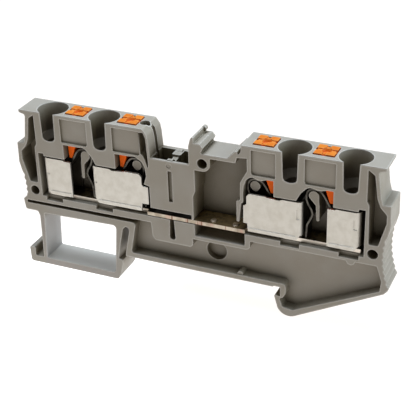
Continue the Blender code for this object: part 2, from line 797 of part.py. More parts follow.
def end_cavity(side, end):
    """A pocket in an end of the block, which leaves a round wall about the outer wire entry."""
    outline = end_cavity_outline(side)
    cavity = prism(f"{end}_cavity", [outline], FRONT - OVER, FRONT + END_CAVITY_DEPTH, CUTTERS)
    axis = (side * OUTER_FUNNEL_X, FUNNEL_Y)
    radius = FUNNEL_RADIUS + FUNNEL_WALL
    wall = cone(f"{end}_entry_wall", axis, radius, radius, UNDERSIDE, TOP + OVER, CUTTERS)
    combine(cavity, cut(wall))
    return cut(cavity)


def plug_pins():
    """Holes on the open side and matching pins on the closed side, which line a row of blocks up."""
    steps = []
    radius = PIN_HOLE_RADIUS - PIN_CLEARANCE
    hole_back = FRONT + PIN_HOLE_DEPTH
    for x, z, label in ((-PIN_X, PIN_Z, "left"), (PIN_X, PIN_Z, "right"), (*BOSS, "middle")):
        hole = cone(
            f"{label}_pin_hole",
            (x, z),
            PIN_HOLE_RADIUS,
            PIN_HOLE_RADIUS,
            FRONT - OVER,
            hole_back,
            CUTTERS,
            along="Y",
            sides=24,
        )
        pin = cone(
            f"{label}_pin",
            (x, z),
            radius,
            radius - PIN_TAPER,
            BACK - 0.4,
            BACK + PIN_LENGTH,
            CUTTERS,
            along="Y",
            sides=24,
        )
        steps += cut(hole) + join(pin)
    return steps


def face_marks():
    """The keyhole and the slot in the middle tab and wall, and the moulded marks beside the pocket."""
    low = DIVIDER_X - FACE_SLOT / 2
    high = DIVIDER_X + FACE_SLOT / 2
    keyhole = [(low, RIB_TOP + 0.5)]
    keyhole += arc((DIVIDER_X, UNDERSIDE + 0.15), KEYHOLE_RADIUS, 174, 366, 14)
    keyhole.append((high, RIB_TOP + 0.5))
    slot = box_outline((low, SHAFT_FLOOR + 2.1), (high, SHAFT_TOP - 2.1), 0.1)
    ejector = cone(
        "ejector_mark",
        (DIVIDER_X - 0.13, SHAFT_TOP - 1.0),
        EJECTOR_RADIUS,
        EJECTOR_RADIUS,
        FRONT - OVER,
        FRONT + EJECTOR_DEPTH,
        CUTTERS,
        along="Y",
        sides=16,
    )
    web_front = FRONT + POCKET_FRONT
    tab = cone(
        "half_disc",
        (OUTER_FUNNEL_X + 0.5, RIB_TOP - 1.35),
        HALF_DISC_RADIUS,
        HALF_DISC_RADIUS,
        FRONT,
        web_front + 0.3,
        CUTTERS,
        along="Y",
        sides=24,
    )
    nub = cone(
        "floor_nub",
        (FINGER_LEFT + 0.5, FLOOR_WALL + 0.15),
        NUB_RADIUS,
        NUB_RADIUS,
        FRONT + 0.2,
        web_front + 0.3,
        CUTTERS,
        along="Y",
        sides=16,
    )
    bead = cone(
        "marker_bead",
        (SHAFT_RIGHT + 1.05, TOP - 0.45),
        BEAD_RADIUS,
        BEAD_RADIUS,
        BACK - 1.1,
        BACK - 0.1,
        CUTTERS,
        along="Y",
        sides=16,
    )
    return (
        cut(
            prism("keyhole", [keyhole], FRONT - OVER, FRONT + KEYHOLE_DEPTH, CUTTERS),
            prism("face_slot", [slot], FRONT - OVER, FRONT + FACE_SLOT_DEPTH, CUTTERS),
            ejector,
        )
        + join(tab, nub, bead)
    )


def make_housing(look):
    """The moulding: its full outline, then the chambers, pockets, entries and pins."""
    steps = []
    for side, end in ((-1, "left"), (1, "right")):
        outline = chamber_outline(side)
        steps += cut(prism(f"{end}_chamber", [outline], FRONT - OVER, FLOOR, CUTTERS))
        steps += end_cavity(side, end)
    steps += cut(prism("middle_chamber", [middle_outline()], FRONT - OVER, FLOOR, CUTTERS))
    shafts = box_outline((SHAFT_LEFT, SHAFT_FLOOR - 0.5), (SHAFT_RIGHT, SHAFT_TOP + OVER))
    steps += cut(prism("bridge_shafts", [shafts], FRONT + SKIN, FLOOR + 0.2, CUTTERS))
    steps += divider()

    web_front = FRONT + POCKET_FRONT
    web_back = BACK - POCKET_BACK
    groove = long_groove_outline()
    disc = cone(
        "recess_disc",
        RECESS_DISC,
        RECESS_DISC_RADIUS,
        RECESS_DISC_RADIUS,
        FRONT - OVER,
        web_front + RECESS_DISC_DEPTH,
        CUTTERS,
        along="Y",
    )
    steps += cut(
        prism("lower_pocket", [lower_pocket_outline()], FRONT - OVER, web_front, CUTTERS),
        prism("long_groove", [groove], FRONT - OVER, web_front, CUTTERS),
        prism("closed_pocket", [closed_pocket_outline()], web_back, BACK + OVER, CUTTERS),
        disc,
    )

    for side, end in ((-1, "left"), (1, "right")):
        for funnel, place in ((OUTER_FUNNEL_X, "outer"), (INNER_FUNNEL_X, "inner")):
            label = f"{place}_{end}"
            steps += panel(funnel, side, label)
            steps += button_shaft(funnel, side, label)
            steps += wire_entry(funnel, side, label)
            steps += peg(funnel, side, label)

    side_slot = box_outline((CENTRE_LEFT - 0.5, WINDOW_TOP - 1.5), (CENTRE_LEFT + 1.2, TOP - 0.3))
    steps += cut(
        prism("test_slot", [test_slot_outline()], FRONT - OVER, FRONT + TEST_SLOT_DEPTH, CUTTERS),
        cone("test_hole", TEST_HOLE, TEST_RADIUS, TEST_RADIUS, PANEL_BOTTOM, TOP + OVER, CUTTERS),
        prism("side_slot", [side_slot], *SIDE_SLOT, CUTTERS),
    )
    steps += plug_pins() + face_marks()
    for side, end in ((-1, "left"), (1, "right")):
        steps += rib_notch(OUTER_FUNNEL_X, side, f"outer_{end}")
        steps += rib_notch(INNER_FUNNEL_X, side, f"inner_{end}")

    housing = prism("housing", [housing_outline(), foot_window()], FRONT, BACK, PARTS)
    combine(housing, steps)
    finish(housing, look)
    return housing


def make_bar(look):
    """The flat current bar: a strip, a wider middle that comes to the open side, holes and dimples."""
    ends = box_outline((-BAR_END_X, BAR_FRONT), (BAR_END_X, BAR_BACK), 0.2)
    bar = prism("current_bar", [ends], BAR_BOTTOM, BAR_TOP, PARTS, along="Z")
    wide = box_outline((BAR_WIDE_LEFT, BAR_WIDE_FRONT), (BAR_WIDE_RIGHT, BAR_FRONT + 0.5), 0.15)
    steps = join(prism("bar_middle", [wide], BAR_BOTTOM, BAR_TOP, CUTTERS, along="Z"))
    middle = (BAR_FRONT + BAR_BACK) / 2
    length, width = BRIDGE_HOLE
    for number, wall in enumerate((SHAFT_LEFT, SHAFT_RIGHT)):
        x = (wall + DIVIDER_X) / 2
        low = (x - length / 2, middle - width / 2)
        high = (x + length / 2, middle + width / 2)
        hole = box_outline(low, high, 0.2)
        name = f"bridge_hole_{number}"
        steps += cut(prism(name, [hole], BAR_BOTTOM - OVER, BAR_TOP + OVER, CUTTERS, along="Z"))
    for number, x in enumerate(DIMPLES):
        dimple = cone(
            f"dimple_{number}",
            (x, DIMPLE_Y),
            DIMPLE_RADIUS,
            DIMPLE_RADIUS * 0.6,
            BAR_TOP - 0.2,
            BAR_TOP + DIMPLE_HEIGHT,
            CUTTERS,
            sides=24,
        )
        steps += join(dimple)
    combine(bar, steps)
    finish(bar, look)
    return bar


def cage_plan(near_x, far_x, radius):
    """The cage's sheet seen from above: front plate, rounded end, end wall, rounded end, back plate."""
    half = CAGE_SHEET / 2
    front = CAGE_FRONT + half
    back = CAGE_BACK - half
    bend = far_x - half - radius
    points = [(near_x, front)]
    points += arc((bend, front + radius), radius, -90, 0, 6)
    points += arc((bend, back - radius), radius, 0, 90, 6)
    points.append((near_x, back))
    return points


def cage_trims(place, side, near_x, far_x):
    """Outlines that trim the front and back plates, and a box that makes room for the bar."""
    low = CAGE_SKIRT - OVER
    high = CAGE_TOP + OVER
    step = CAGE_TOP - 0.3
    trims = [
        [
            (far_x + OVER, low),
            (far_x + OVER, CAGE_SKIRT + 1.0),
            (far_x - 0.4, CAGE_SKIRT + 0.9),
            (far_x - 1.0, CAGE_SKIRT),
            (far_x - 1.0, low),
        ],
    ]
    if place == "inner":
        tab = near_x - TAB_REACH[side] - OVER
        notch = far_x - CAGE_NOTCH
        trims += [
            [
                (notch, high),
                (notch, CAGE_TOP - 0.1),
                (notch + 2.7, step),
                (notch + 3.3, CAGE_TOP),
                (notch + 3.3, high),
            ],
            [
                (tab, TAB_TOP),
                (near_x - 0.35, TAB_TOP),
                (near_x, TAB_TOP + 0.4),
                (near_x, CAGE_TOP - 0.6),
                (near_x + 0.5, CAGE_TOP),
                (near_x + 0.5, high),
                (tab, high),
            ],
            [(tab, low), (near_x + 0.4, low), (near_x + 0.1, TAB_BOTTOM), (tab, TAB_BOTTOM)],
        ]
    else:
        trims.append(
            [
                (near_x - OVER, CAGE_TOP - 0.25),
                (near_x + 1.3, CAGE_TOP - 0.2),
                (near_x + 1.6, CAGE_TOP),
                (near_x + 1.6, high),
                (near_x - OVER, high),
            ]
        )
    return [mirrored(trim, side) for trim in trims]


def make_cage(funnel, side, place, label, look):
    """A folded cage: an open surface drawn from its plan, thickened to the sheet, then trimmed."""
    near_x = funnel - CAGE_REACH[place]
    far_x = funnel + CAGE_END[place]
    reach = TAB_REACH[side] if place == "inner" else 0.0
    bend = CAGE_BEND[place]
    plan = cage_plan(near_x - reach, far_x, bend)
    mesh = bpy.data.meshes.new(label)
    shape = bmesh.new()
    rows = [
        [shape.verts.new((side * x * MM, y * MM, z * MM)) for x, y in plan]
        for z in (CAGE_SKIRT, CAGE_TOP)
    ]
    for index in range(len(plan) - 1):
        shape.faces.new((rows[0][index], rows[0][index + 1], rows[1][index + 1], rows[1][index]))
    bmesh.ops.recalc_face_normals(shape, faces=shape.faces)
    shape.to_mesh(mesh)
    shape.free()
    cage = bpy.data.objects.new(label, mesh)
    PARTS.objects.link(cage)
    sheet = cage.modifiers.new("sheet", "SOLIDIFY")
    sheet.thickness = CAGE_SHEET * MM
    sheet.offset = 0.0
    sheet.use_even_offset = True

    inside = CAGE_FRONT + CAGE_SHEET + 0.1
    hem_end = far_x - max(bend, 1.0) - 0.25
    hem = box_outline((near_x + 0.35, CAGE_SKIRT), (hem_end, CAGE_SKIRT + CAGE_HEM))
    hem_front = CAGE_FRONT - HEM_PROUD
    steps = join(prism(f"{label}_hem", [mirrored(hem, side)], hem_front, CAGE_FRONT + 0.2, CUTTERS))
    width, height = LOCK_MARK
    mark_x = far_x - bend
    low = (mark_x - width / 2, LOCK_MARK_Z - height / 2)
    mark = box_outline(low, (mark_x + width / 2, LOCK_MARK_Z + height / 2), 0.15)
    mark_back = CAGE_FRONT + LOCK_MARK_DEPTH
    steps += cut(prism(f"{label}_mark", [mirrored(mark, side)], FRONT - OVER, mark_back, CUTTERS))
    for number, outline in enumerate(cage_trims(place, side, near_x, far_x)):
        steps += cut(prism(f"{label}_trim_{number}", [outline], FRONT - OVER, BACK, CUTTERS))
    low = (near_x - reach - OVER, CAGE_SKIRT - OVER)
    bar_room = mirrored(box_outline(low, (far_x + OVER, BAR_TOP + SEAT_GAP)), side)
    steps += cut(prism(f"{label}_bar_room", [bar_room], inside, BACK, CUTTERS))
    if place == "inner":
        back_room = mirrored(box_outline(low, (near_x + 0.5, CAGE_TOP + OVER)), side)
        steps += cut(prism(f"{label}_back_trim", [back_room], inside, BACK, CUTTERS))
    combine(cage, steps)
    finish(cage, look)
    return cage


def spring_path(funnel):
    """The hairpin seen from the open side: rear leg up from the bar, round the peg, down to the wire."""
    x = funnel - PEG_FROM_FUNNEL
    foot = BAR_TOP + 2 * SEAT_GAP
    top = PEG_Z + SPRING_LOOP
    rear = [
        (x - 1.4, foot),
        (x - 1.2, foot + 2.8),
        (x - 0.55, foot + 4.1),
        (x - 0.15, foot + 5.1),
        (x - 0.4, foot + 6.1),
        (x - 1.05, foot + 7.1),
        (x - SPRING_LOOP - 0.03, foot + 8.1),
    ]
    turn = arc((x, PEG_Z), SPRING_LOOP, 180, 75, 7)
    leg = [
        (x + 1.0, top - 0.12),
        (x + 1.55, top - 0.5),
        (x + 2.1, top - 1.25),
        (x + 2.85, top - 2.6),
        (x + 4.35, top - 4.4),
        (x + 5.65, top - 5.9),
        (funnel + 0.75, CHAMBER_TOP - 5.85),
    ]
    return rear + turn + leg


def ribbon(path, thickness):
    """The outline of a strip of even thickness along a path."""
    points = [Vector(point) for point in path]
    upper = []
    lower = []
    for index, here in enumerate(points):
        before = points[max(index - 1, 0)]
        after = points[min(index + 1, len(points) - 1)]
        along = (after - before).normalized()
        across = Vector((-along.y, along.x)) * thickness / 2
        upper.append(here + across)
        lower.append(here - across)
    return [(point.x, point.y) for point in upper + lower[::-1]]


def make_spring(funnel, side, label, look):
    outline = mirrored(ribbon(spring_path(funnel), SPRING_SHEET), side)
    spring = prism(label, [outline], SPRING_FRONT, SPRING_BACK, PARTS)
    finish(spring, look, smooth=True)
    return spring


def make_button(funnel, side, label, look):
    """A push button: a square head with a driver recess, and a blade that reaches down to the spring."""
    high_x = funnel - BUTTON_FROM_FUNNEL
    low_x = high_x - BUTTON_LENGTH
    top = TOP + BUTTON_PROUD
    edge = funnel - WINDOW_EDGE - 2 * CLEARANCE
    head = [
        (low_x, top),
        (high_x, top),
        (high_x, BUTTON_STEP_Z),
        (high_x - 1.7, BUTTON_STEP_Z + 0.5),
        (low_x, BUTTON_STEP_Z + 1.9),
    ]
    blade = fillet(
        [
            (high_x - 0.1, BUTTON_STEP_Z + 0.6),
            (high_x - 0.1, BUTTON_STEP_Z - 0.1, 0.1),
            (edge, BUTTON_STEP_Z - 0.5, 0.1),
            (edge - 0.1, BUTTON_TIP_Z, 0.3),
            (edge - 0.75, BUTTON_TIP_Z, 0.3),
            (edge - 1.6, BUTTON_STEP_Z - 1.1, 0.4),
            (edge - 1.7, BUTTON_STEP_Z + 0.8),
        ]
    )
    button = prism(label, [mirrored(head, side)], BUTTON_FRONT, BUTTON_BACK, PARTS)
    blade_front = SPRING_FRONT + CLEARANCE
    blade_back = SPRING_BACK - CLEARANCE
    steps = join(prism(f"{label}_blade", [mirrored(blade, side)], blade_front, blade_back, CUTTERS))
    x = side * (low_x + high_x) / 2
    y = (BUTTON_FRONT + BUTTON_BACK) / 2
    reach = BUTTON_LENGTH / 2 + OVER
    half = RECESS_WIDTH / 2
    for number, (across, along) in enumerate(((reach, half), (half, reach))):
        outline = box_outline((x - across, y - along), (x + across, y + along))
        name = f"{label}_recess_{number}"
        steps += cut(prism(name, [outline], top - RECESS_DEPTH, top + OVER, CUTTERS, along="Z"))
    edges = ((x, BUTTON_FRONT), (x, BUTTON_BACK), (side * low_x, y), (side * high_x, y))
    for number, place in enumerate(edges):
        low = top - RIM_NOTCH_DEPTH
        radius = RIM_NOTCH_RADIUS
        name = f"{label}_notch_{number}"
        steps += cut(cone(name, place, radius, radius, low, top + OVER, CUTTERS, sides=16))
    floor = top - DISH_DEPTH
    dish = cone(f"{label}_dish", (x, y), *DISH_RADII, floor, top + CLEARANCE, CUTTERS, sides=24)
    steps += cut(dish)
    combine(button, steps)
    finish(button, look)
    return button


def to_origin(obj, place):
    """Moves an object's origin to a point, in millimetres, without moving its shape."""
    target = Vector(place) * MM
    shift = Matrix.Translation(-target) @ obj.matrix_world
    obj.data.transform(shift)
    obj.matrix_world = Matrix.Translation(target)


def main():
    global PARTS, CUTTERS
    clear_scene()
    PARTS = new_collection("feed_through_terminal_block")
    CUTTERS = new_collection("cutters")
    grey = material("grey_polyamide", (0.40, 0.37, 0.33), 0.45)
    tin = material("tinned_sheet", (0.72, 0.68, 0.60), 0.35, 1.0)
    copper = material("tinned_copper", (0.80, 0.62, 0.47), 0.35, 1.0)
    steel = material("spring_steel", (0.30, 0.29, 0.27), 0.3, 1.0)
    orange = material("orange_polyamide", (0.95, 0.24, 0.02), 0.4)

    make_bar(copper)
    for side, end in ((-1, "left"), (1, "right")):
        for funnel, place in ((OUTER_FUNNEL_X, "outer"), (INNER_FUNNEL_X, "inner")):
            make_cage(funnel, side, place, f"{place}_{end}_cage", tin)
            make_spring(funnel, side, f"{place}_{end}_spring", steel)
            button = make_button(funnel, side, f"{place}_{end}_button", orange)
            centre = funnel - BUTTON_FROM_FUNNEL - BUTTON_LENGTH / 2
            to_origin(button, (side * centre, 0.0, TOP))
    make_housing(grey)


main()
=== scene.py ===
"""Looks, light and camera for the feed-through terminal block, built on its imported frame."""

import json
import math

import bpy
import numpy as np
from mathutils import Matrix, Vector

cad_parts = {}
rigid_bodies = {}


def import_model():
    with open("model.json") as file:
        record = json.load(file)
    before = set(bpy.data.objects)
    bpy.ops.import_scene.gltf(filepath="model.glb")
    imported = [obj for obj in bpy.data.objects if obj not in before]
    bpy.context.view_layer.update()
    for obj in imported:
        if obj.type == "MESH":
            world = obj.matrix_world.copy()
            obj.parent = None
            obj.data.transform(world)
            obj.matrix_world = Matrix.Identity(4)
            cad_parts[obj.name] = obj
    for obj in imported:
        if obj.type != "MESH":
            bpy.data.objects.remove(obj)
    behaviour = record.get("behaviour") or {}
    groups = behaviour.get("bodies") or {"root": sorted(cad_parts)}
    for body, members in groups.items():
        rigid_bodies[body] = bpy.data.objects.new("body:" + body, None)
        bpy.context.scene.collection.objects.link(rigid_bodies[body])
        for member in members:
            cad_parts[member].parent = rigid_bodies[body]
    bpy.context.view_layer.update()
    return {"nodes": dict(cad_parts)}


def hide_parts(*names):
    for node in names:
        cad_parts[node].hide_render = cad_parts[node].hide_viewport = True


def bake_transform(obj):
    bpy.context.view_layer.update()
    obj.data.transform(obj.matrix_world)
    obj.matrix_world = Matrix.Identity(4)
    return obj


MM = 0.001

# The camera's place in millimetres and its angles in degrees, fitted to the photograph.
CAMERA_PLACE = (77.549, -167.843, 115.465)
CAMERA_AZIMUTH = 24.309
CAMERA_ELEVATION = 29.107
CAMERA_ROLL = 1.826
CAMERA_LENS = 93.80
CAMERA_SENSOR = 36.0
CAMERA_CLIP = (0.005, 10.0)

# The white table, glowing evenly, with a painted pool of light near the block's foot, where the
# table itself glows brighter.
FLOOR_Z = -6.05
FLOOR_SIZE = 3000.0
FLOOR_TONES = ((0.09, 0.09, 0.09), (0.10, 0.10, 0.10))
FLOOR_GLOW = (1.03, 0.985, 0.95)
POOL_PLACE = (-29.0, -4.0, 0.0)
POOL_REACH = 28.0
POOL_CORE = 0.2 * POOL_REACH
POOL_GLOW = (1.42, 1.42, 1.42)
WORLD_GLOW = (1.0, 0.94, 0.82)
WORLD_STRENGTH = 0.09

# Where the tones change, in millimetres in the frame's axes. A fade has its start and its end,
# and a band its low end, its high end and how softly it fades outside them.
LOOP_RIGHT_FADE = (-19.0, -16.0)
LOOP_LEFT_FADE = (-35.2, -34.6)
LOOP_TOP_FADE = (4.5, 6.5)
WELL_TOP_FADE = (26.5, 29.3)
WELL_NEAR_FADE = (13.5, 15.0)
BASE_FADE = (10.5, 12.5)
END_FADE = (33.4, 34.2)
BACK_WALL_BAND = (0.2, 2.2, 0.5)
CELLS_X_BAND = (10.6, 33.2, 0.2)
CELLS_Z_BAND = (11.6, 23.0, 1.6)
WELLS_MIDDLE = 25.31
WELLS_APART = 5.74
FUNNEL_EDGE_FADE = (2.7, 2.9)
FUNNEL_Y_BAND = (-1.6, 2.4, 0.6)
FUNNEL_Z_BAND = (20.6, 24.8, 2.4)
BLADE_FADE = (23.0, 25.5)
CAGE_FRONT_FADE = (-2.7, -1.6)
BAR_COVERED_BAND = (-9.6, -0.2, 0.4)
BAR_CELLS_FADE = (10.2, 10.8)
BAR_ENDS_FADE = (10.8, 11.4)
BAR_TOP_Z = 11.45
DOME_FADE = (BAR_TOP_Z + 0.03, BAR_TOP_Z + 0.12)

# The X of the outer and the inner springs' pegs, in millimetres.
OUTER_PEG_X = 23.8
INNER_PEG_X = 12.32

# Colours are linear.
GREY = (0.341, 0.314, 0.267)
GREY_WARM = (0.321, 0.290, 0.238)
GREY_DUST = (0.43, 0.41, 0.38)
GREY_RIM_HIGHLIGHT = (0.66, 0.64, 0.59)
GREY_HOLLOW_SHADE = (0.088, 0.064, 0.021)
GREY_LOOP_PAINTED_LIGHT = (0.395, 0.384, 0.372)
GREY_LOOP_FRONT_PAINTED_LIGHT = (0.325, 0.290, 0.258)
LOOP_FLOOR_PAINTED_LIGHT = (0.70, 0.675, 0.61)
GREY_CORNER_SHADE = (0.075, 0.060, 0.043)
ORANGE = (0.615, 0.157, 0.012)
ORANGE_PALE = (0.67, 0.205, 0.020)
ORANGE_RIM_HIGHLIGHT = (0.84, 0.46, 0.14)
ORANGE_RECESS_SHADE = (0.70, 0.055, 0.002)
ORANGE_BLADE = (1.0, 0.145, 0.001)
TIN = (0.625, 0.602, 0.545)
TIN_DULL = (0.603, 0.578, 0.515)
TIN_STAIN = (0.56, 0.50, 0.42)
TIN_EDGE_HIGHLIGHT = (0.82, 0.80, 0.76)
PAINTED_SHADE = (0.055, 0.042, 0.030)
CREAM = (0.52, 0.465, 0.375)
CREAM_DULL = (0.38, 0.325, 0.25)
COPPER = (0.50, 0.33, 0.26)
BURNT = (0.16, 0.050, 0.028)
BAR_STAIN = (0.74, 0.60, 0.34)
BAR_DARK = (0.38, 0.30, 0.155)
BAR_SHADE = (0.035, 0.030, 0.025)
DOME_HIGHLIGHT = (1.0, 0.86, 0.70)
BRIGHT = (0.82, 0.77, 0.68)
STEEL = (0.052, 0.048, 0.041)
STEEL_LIGHT = (0.130, 0.122, 0.106)

# How the material nodes are set, and the sockets of a colour mix, whose names repeat.
BEVEL_SAMPLES = 6
CREVICE_SAMPLES = 8
EDGE_COSINES = (0.997, 0.90)
NOISE_HALVES = (0.35, 0.65)
NOISE_SPAN = (0.3, 0.7)
MIX_SHARE, MIX_FIRST, MIX_SECOND = 0, 6, 7
MIX_RESULT = 2

# How faceted meshes are softened: angles in degrees, and the grid on which corners are one.
SMOOTH_ANGLE = 32
SPRING_SMOOTH_ANGLE = 50
GRID_STEPS_PER_METRE = 1e7
FLAT_COSINE = 0.9999
NO_LENGTH = 1e-9


def with_alpha(value):
    """A plain colour with its alpha, and anything else as it is."""
    return (*value, 1.0) if isinstance(value, tuple) else value


class Look:
    """A material under construction: it makes nodes and links them in a line of calls."""

    def __init__(self, name, slot):
        self.material = bpy.data.materials.new(name)
        self.material.use_nodes = True
        self.material["slot"] = slot
        self.tree = self.material.node_tree
        self.tree.nodes.clear()
        self.output = self.node("ShaderNodeOutputMaterial")
        self.shader = self.node("ShaderNodeBsdfPrincipled")
        self.link(self.shader.outputs["BSDF"], self.output.inputs["Surface"])
        self.place = self.node("ShaderNodeTexCoord").outputs["Object"]

    def node(self, kind, **settings):
        made = self.tree.nodes.new(kind)
        for name, value in settings.items():
            setattr(made, name, value)
        return made

    def link(self, source, target):
        self.tree.links.new(source, target)

    def feed(self, value, socket):
        """Links a socket to the value, or sets it to it."""
        if isinstance(value, bpy.types.NodeSocket):
            self.link(value, socket)
        else:
            socket.default_value = value

    def noise(self, size, detail=3.0, roughness=0.5, scale=(1.0, 1.0, 1.0)):
        """Noise whose features are about size millimetres across, on coordinates scaled by axis."""
        mapping = self.node("ShaderNodeMapping")
        self.link(self.place, mapping.inputs["Vector"])
        mapping.inputs["Scale"].default_value = scale
        made = self.node("ShaderNodeTexNoise")
        self.link(mapping.outputs["Vector"], made.inputs["Vector"])
        made.inputs["Scale"].default_value = 1.0 / (size * MM)
        made.inputs["Detail"].default_value = detail
        made.inputs["Roughness"].default_value = roughness
        return made.outputs["Fac"]

    def spread(self, value, low, high, to_low=0.0, to_high=1.0):
        """Stretches low to high over to_low to to_high, smoothly and clamped."""
        made = self.node("ShaderNodeMapRange", interpolation_type="SMOOTHSTEP")
        self.feed(value, made.inputs["Value"])
        made.inputs["From Min"].default_value = low
        made.inputs["From Max"].default_value = high
        made.inputs["To Min"].default_value = to_low
        made.inputs["To Max"].default_value = to_high
        return made.outputs["Result"]

    def above(self, value, low, high, share=1.0):
        """Zero below low, and share above high."""
        return self.spread(value, low, high, 0.0, share)

    def below(self, value, low, high, share=1.0):
        """Share below low, and zero above high."""
        return self.spread(value, low, high, share, 0.0)

    def band(self, value, low, high, soft):
        """One between low and high, fading to zero over soft on both sides."""
        return self.both(self.above(value, low - soft, low), self.below(value, high, high + soft))

    def math(self, operation, first, second=0.0):
        made = self.node("ShaderNodeMath", operation=operation)
        self.feed(first, made.inputs[0])
        self.feed(second, made.inputs[1])
        return made.outputs[0]

    def both(self, *values):
        """The product of masks, or of masks and a share."""
        total = values[0]
        for value in values[1:]:
            total = self.math("MULTIPLY", total, value)
        return total

    def either(self, *values):
        """The largest of several masks."""
        total = values[0]
        for value in values[1:]:
            total = self.math("MAXIMUM", total, value)
        return total

    def size_of(self, value):
        """A value without its sign."""
        return self.math("ABSOLUTE", value)

    def mix(self, share, first, second):
        """Blends two colours."""
        made = self.node("ShaderNodeMix", data_type="RGBA")
        self.feed(share, made.inputs[MIX_SHARE])
        self.feed(with_alpha(first), made.inputs[MIX_FIRST])
        self.feed(with_alpha(second), made.inputs[MIX_SECOND])
        return made.outputs[MIX_RESULT]

    def axis(self, name):
        """One of the object's coordinates, in millimetres."""
        parts = self.node("ShaderNodeSeparateXYZ")
        self.link(self.place, parts.inputs[0])
        return self.math("DIVIDE", parts.outputs[name], MM)

    def facing(self, name):
        """One part of the surface's direction, from -1 to 1."""
        parts = self.node("ShaderNodeSeparateXYZ")
        self.link(self.node("ShaderNodeNewGeometry").outputs["Normal"], parts.inputs[0])
        return parts.outputs[name]

    def rounded(self, radius):
        """Normals that turn round the edges, as a moulded or punched edge does."""
        made = self.node("ShaderNodeBevel", samples=BEVEL_SAMPLES)
        made.inputs["Radius"].default_value = radius * MM
        return made.outputs["Normal"]

    def edge_mask(self, radius):
        """Where the rounded normal leaves the surface's own: zero on faces and one at edges."""
        plain = self.node("ShaderNodeNewGeometry").outputs["Normal"]
        turned = self.node("ShaderNodeVectorMath", operation="DOT_PRODUCT")
        self.link(self.rounded(radius), turned.inputs[0])
        self.link(plain, turned.inputs[1])
        return self.spread(turned.outputs["Value"], *EDGE_COSINES)

    def crevice(self, distance, alone=False):
        """One in the open and less in corners and hollows, those of the object alone or of all."""
        made = self.node("ShaderNodeAmbientOcclusion", samples=CREVICE_SAMPLES, only_local=alone)
        made.inputs["Distance"].default_value = distance * MM
        return made.outputs["AO"]

    def bump(self, height, depth, normal):
        """A normal roughened by a height, depth millimetres deep."""
        made = self.node("ShaderNodeBump")
        made.inputs["Distance"].default_value = depth * MM
        self.link(height, made.inputs["Height"])
        self.link(normal, made.inputs["Normal"])
        return made.outputs["Normal"]

    def surface(self, **values):
        """Sets the shader's sockets, by their names in lower case, and hands the material over."""
        for name, value in values.items():
            socket = self.shader.inputs[name.replace("_", " ").title().replace("Ior", "IOR")]
            self.feed(with_alpha(value), socket)
        return self.material


def polyamide():
    """Grey moulded plastic: fine grain, slow changes of tone, painted highlights on its rims,
    painted light on the foot's loop and painted shade in its hollows and corners.
    """
    look = Look("moulded_polyamide", "grey_polyamide")
    x, y, z = look.axis("X"), look.axis("Y"), look.axis("Z")
    from_middle = look.size_of(x)
    near = look.crevice(1.2)

    tone = look.mix(look.above(look.noise(7.0, detail=2.0), *NOISE_HALVES), GREY, GREY_WARM)
    speck = look.above(look.noise(0.35, detail=4.0, roughness=0.65), 0.56, 0.75, share=0.18)
    tone = look.mix(speck, tone, GREY_DUST)

    # Painted light on the foot's loop, as the table would light it from below: one grey on the
    # faces that face the front and back, and a paler one on the rest.
    loop = look.both(look.below(x, *LOOP_RIGHT_FADE), look.below(z, *LOOP_TOP_FADE))
    loop = look.both(loop, look.above(x, *LOOP_LEFT_FADE))
    sideways = look.above(look.size_of(look.facing("Y")), 0.6, 0.85)
    tone = look.mix(loop, tone, look.mix(sideways, GREY_LOOP_PAINTED_LIGHT, GREY_LOOP_FRONT_PAINTED_LIGHT))

    # Painted highlight on the rims, where the edges would catch the light.
    rim_highlight = look.both(look.edge_mask(0.45), look.above(near, 0.70, 0.95, share=0.62))
    tone = look.mix(rim_highlight, tone, GREY_RIM_HIGHLIGHT)
    # Painted light on the loop's upward faces.
    upward = look.both(loop, look.above(look.facing("Z"), 0.5, 0.9, share=0.65))
    tone = look.mix(upward, tone, LOOP_FLOOR_PAINTED_LIGHT)

    # Painted shade in the hollows, apart from the wells' tops and the loop, and less at the base
    # and the ends.
    open_air = look.spread(look.crevice(14.0, alone=True), 0.15, 0.92, to_low=0.14)
    base_and_ends = look.either(look.below(z, *BASE_FADE), look.above(from_middle, *END_FADE))
    open_air = look.math("ADD", open_air, look.both(base_and_ends, 0.17))
    well_tops = look.above(z, *WELL_TOP_FADE, share=0.75)
    well_tops = look.both(well_tops, look.above(from_middle, *WELL_NEAR_FADE))
    tone = look.mix(look.either(open_air, well_tops, loop), GREY_HOLLOW_SHADE, tone)

    # Painted shade on the cells' back walls, the funnels' insides and the corners.
    cells = look.both(look.band(from_middle, *CELLS_X_BAND), look.band(z, *CELLS_Z_BAND))
    cells = look.both(cells, look.band(y, *BACK_WALL_BAND))
    tone = look.mix(look.both(cells, 0.38), tone, GREY_CORNER_SHADE)
    from_wells = look.size_of(look.math("SUBTRACT", from_middle, WELLS_MIDDLE))
    from_wells = look.size_of(look.math("SUBTRACT", from_wells, WELLS_APART))
    funnels = look.both(look.below(from_wells, *FUNNEL_EDGE_FADE), look.band(z, *FUNNEL_Z_BAND))
    funnels = look.both(funnels, look.band(y, *FUNNEL_Y_BAND))
    tone = look.mix(look.both(funnels, 0.75), tone, GREY_CORNER_SHADE)
    tone = look.mix(look.above(near, 0.0, 0.40), GREY_CORNER_SHADE, tone)

    roughness = look.spread(look.noise(2.2, detail=4.0), *NOISE_SPAN, 0.44, 0.58)
    normal = look.bump(look.noise(0.16, roughness=0.6), 0.010, look.rounded(0.22))
    normal = look.bump(look.noise(3.5, detail=1.0), 0.04, normal)
    return look.surface(
        base_color=tone, roughness=roughness, normal=normal, specular_ior_level=0.40
    )


